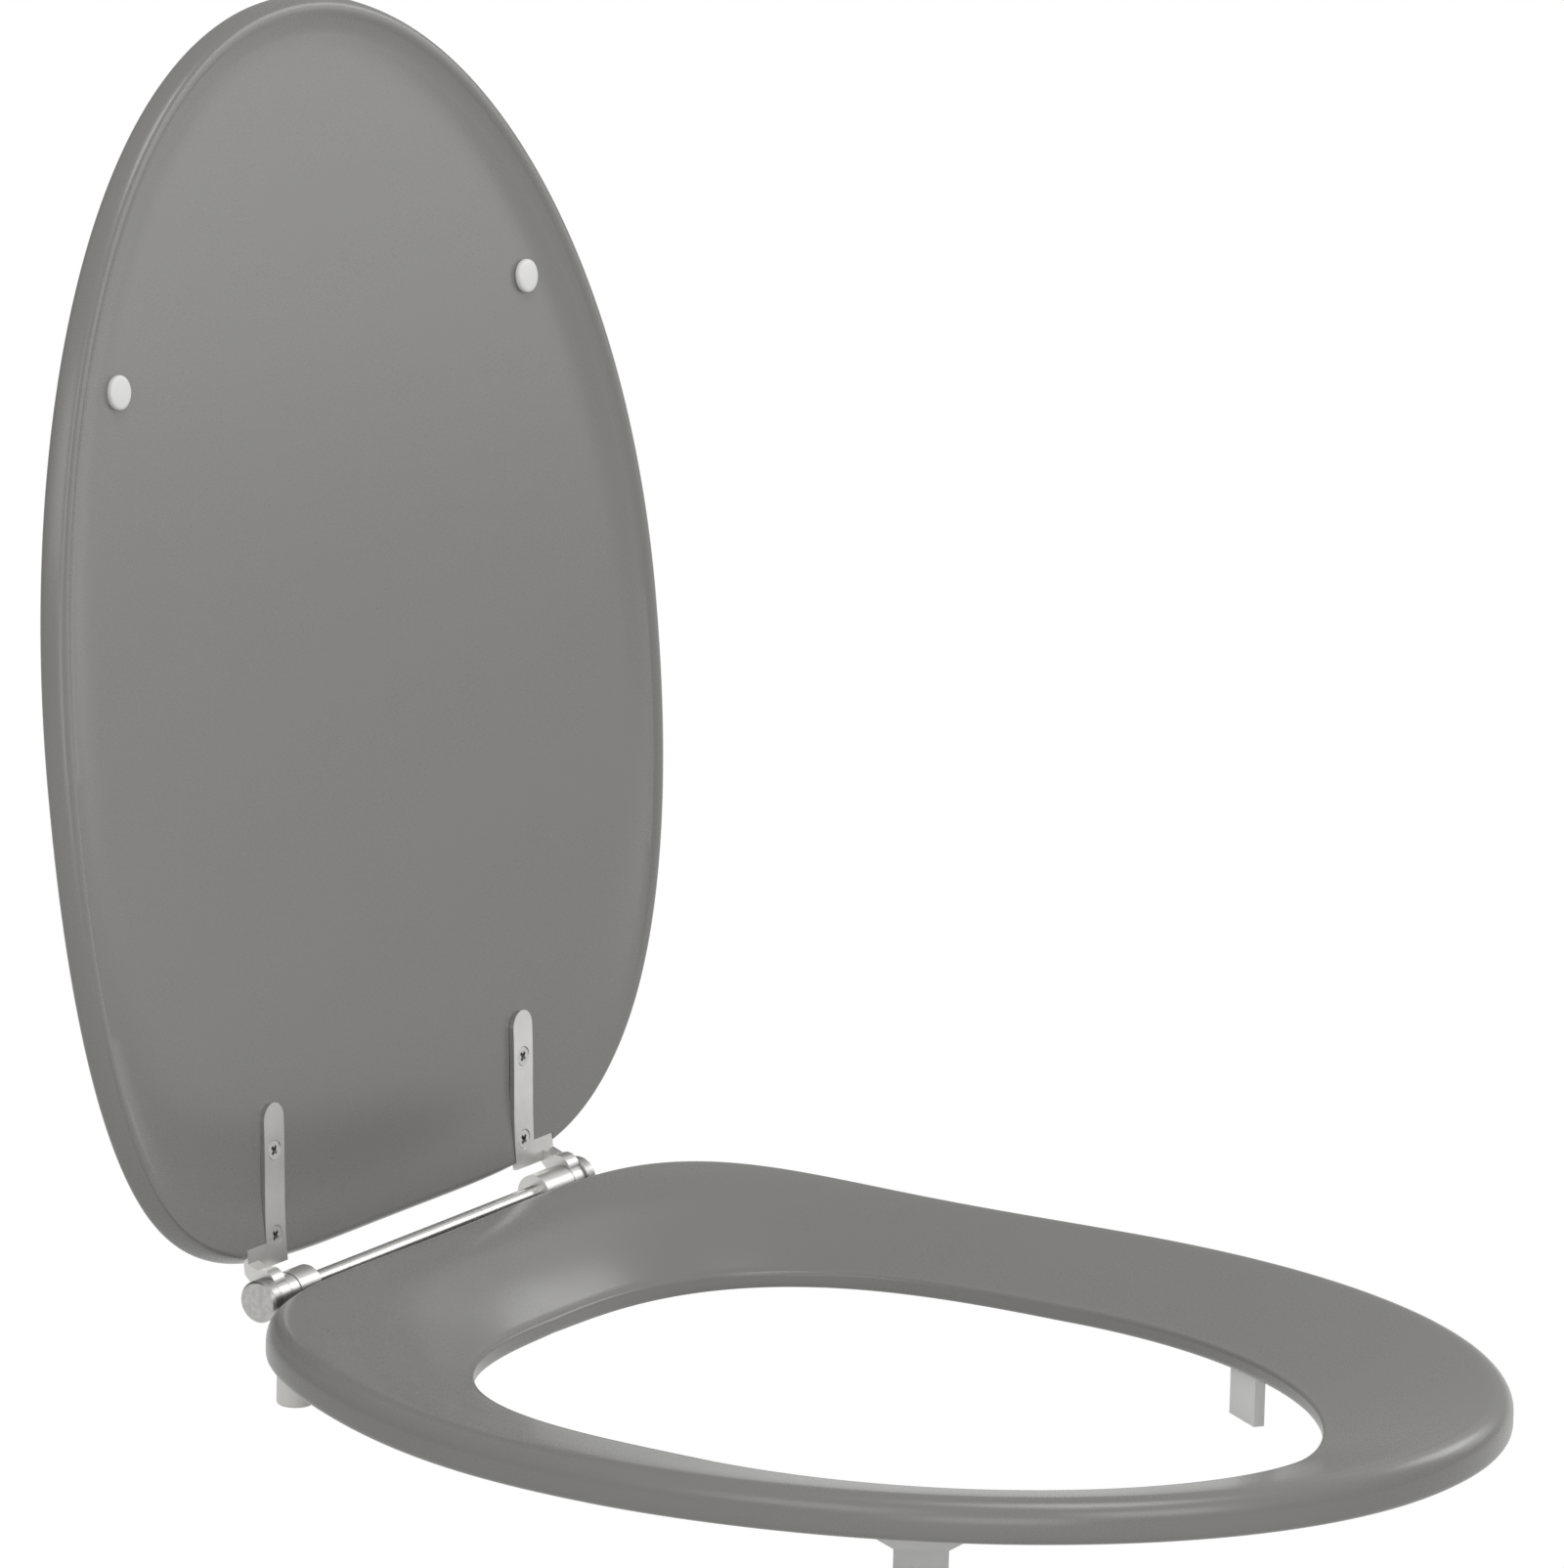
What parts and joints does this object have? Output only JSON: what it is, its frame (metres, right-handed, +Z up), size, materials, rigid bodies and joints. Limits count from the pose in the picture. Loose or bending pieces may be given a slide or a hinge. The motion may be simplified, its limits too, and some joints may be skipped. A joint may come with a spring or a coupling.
{
  "type": "toilet seat",
  "caption": "Oval toilet seat with a full lid on a common hinge rod, two hinge pillars with threaded feet, lid buffers and legs under the front.",
  "frame": {"origin": "on the rim plane of the bowl, midway between the two fixing threads of the hinge pillars, 42.5 mm under the axis of the hinge rod", "axes": "+X along the hinge rod to the right as seen by someone facing the cistern from the front, -Y to the front of the seat, +Z up; stored with the seat down and the lid open"},
  "size_m": [0.3692, 0.496, 0.4802],
  "materials": {
    "seat_moulding": "semi-gloss warm mid grey, dense thermoset",
    "lid_moulding": "semi-gloss warm mid grey, dense thermoset",
    "stainless": "satin stainless steel",
    "screw_steel": "plain stainless screws",
    "pale_plastic": "off-white slippery plastic",
    "buffer_plastic": "near white, soft satin",
    "leg_plastic": "light grey, satin"
  },
  "bodies": {
    "hinge": {"hinge_rod": "stainless", "hinge_post_left": "stainless", "hinge_post_right": "stainless", "post_set_screws": "screw_steel", "foot_sleeves": "pale_plastic", "rod_end_caps": "stainless", "cap_set_screws": "screw_steel"},
    "seat": {"seat_ring": "seat_moulding", "seat_strap_left": "stainless", "seat_strap_right": "stainless", "seat_bushes": "pale_plastic", "seat_strap_screws": "screw_steel", "seat_leg_left": "leg_plastic", "seat_leg_right": "leg_plastic"},
    "lid": {"lid_shell": "lid_moulding", "lid_strap_left": "stainless", "lid_strap_right": "stainless", "lid_bushes": "pale_plastic", "lid_strap_screws": "screw_steel", "lid_buffer_left": "buffer_plastic", "lid_buffer_right": "buffer_plastic"}
  },
  "joints": [
    {"name": "seat_hinge", "type": "hinge", "parent": "hinge", "child": "seat", "pos_m": [0, 0, 0.0425], "axis": [-1, 0, 0], "range_deg": [0, 98]},
    {"name": "lid_hinge", "type": "hinge", "parent": "hinge", "child": "lid", "pos_m": [0, 0, 0.0425], "axis": [1, 0, 0], "range_deg": [0, 98.2]}
  ]
}
